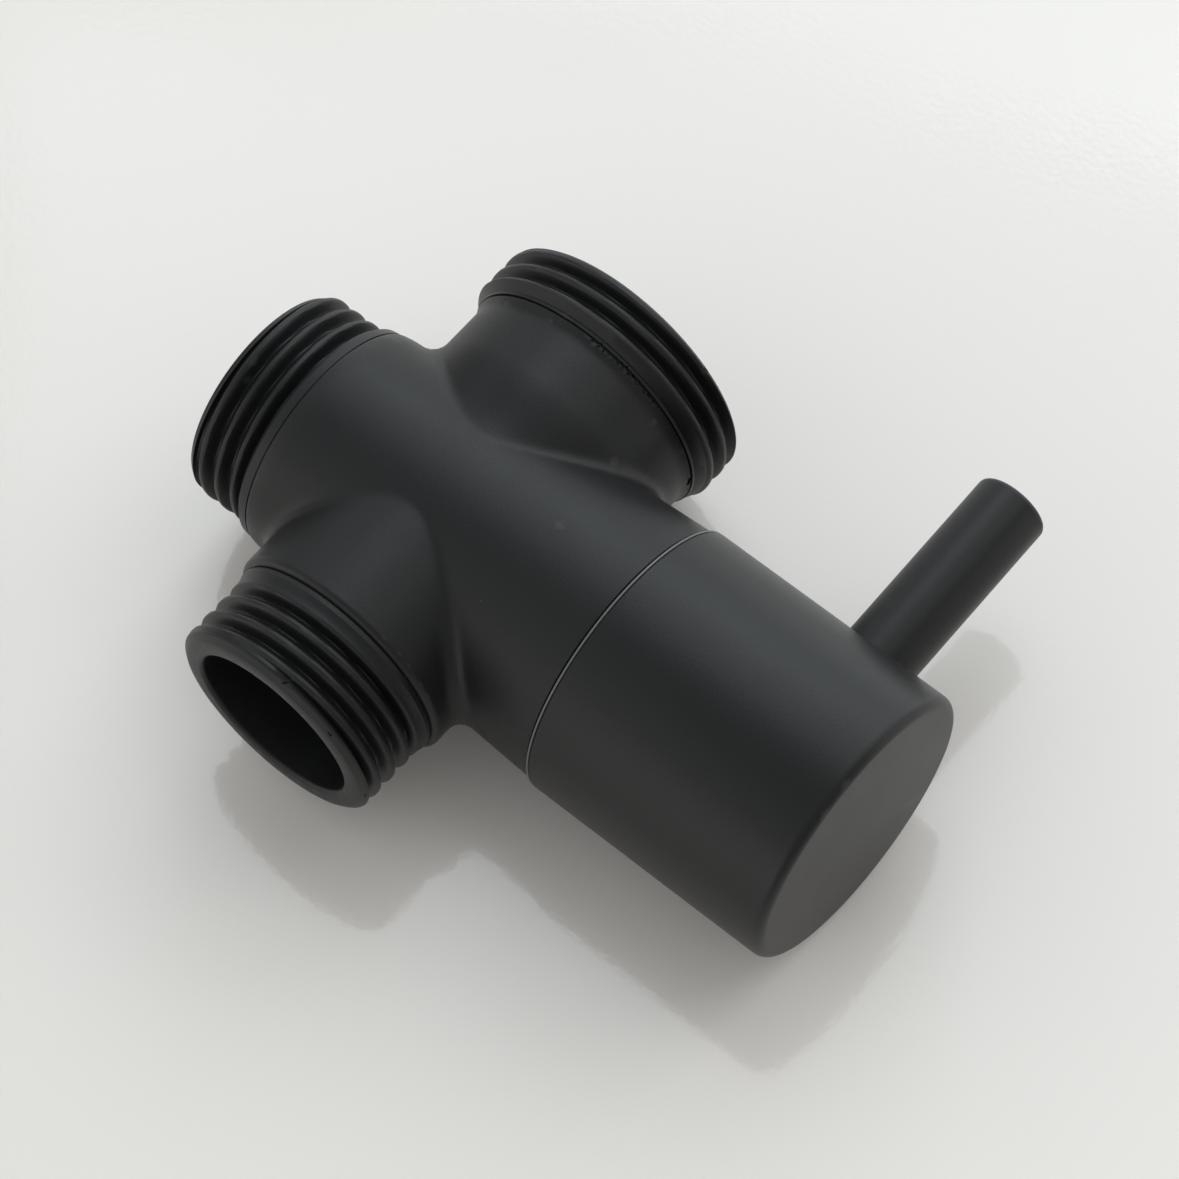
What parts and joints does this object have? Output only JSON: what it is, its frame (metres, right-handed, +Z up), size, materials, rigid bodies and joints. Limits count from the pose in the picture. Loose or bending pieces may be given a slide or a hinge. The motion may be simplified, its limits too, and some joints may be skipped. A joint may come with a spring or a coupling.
{
  "type": "diverter valve",
  "caption": "Cross-shaped three-way diverter valve: two side ports and an end port with male pipe threads, and a turning knob with a round side lever on the barrel's other end.",
  "frame": {"origin": "bottom centre of the bounding box, under the valve lying on its side with all port axes level", "axes": "+X along the barrel from end port A to the knob, +Y towards side port B, -Y towards side port C, +Z up"},
  "size_m": [0.0668, 0.0566, 0.0269],
  "materials": {
    "body_coat": "satin-matt black powder coat, thin on the thread crests",
    "knob_coat": "satin-matt black powder coat, smooth",
    "glide_plastic": "grey moulded plastic",
    "liner_plastic": "off-white moulded acetal",
    "brass": "turned brass",
    "spring_steel": "plain steel, lightly oiled",
    "seal_rubber": "black nitrile rubber"
  },
  "bodies": {
    "body": {"valve_body": "body_coat", "cartridge_sleeve": "liner_plastic", "port_b_seal": "seal_rubber", "port_c_seal": "seal_rubber", "bonnet": "brass", "bonnet_oring": "seal_rubber", "thrust_washer": "liner_plastic", "stop_pin": "spring_steel", "glide_ring": "glide_plastic", "sleeve_oring_inner": "seal_rubber", "sleeve_oring_outer": "seal_rubber"},
    "handle": {"knob_shell": "knob_coat", "lever_pin": "knob_coat", "spline_adapter": "liner_plastic", "diverter_rotor": "brass", "spindle": "brass", "circlip": "spring_steel", "knob_grub_screw": "spring_steel", "shutoff_pad": "seal_rubber", "rotor_oring_inner": "seal_rubber", "rotor_oring_outer": "seal_rubber", "spindle_oring_inner": "seal_rubber", "spindle_oring_outer": "seal_rubber"}
  },
  "joints": [
    {"name": "knob_turn", "type": "hinge", "parent": "body", "child": "handle", "pos_m": [0, -0.00421, 0.01343], "axis": [1, 0, 0], "range_deg": [-2.1, 177.9]}
  ]
}
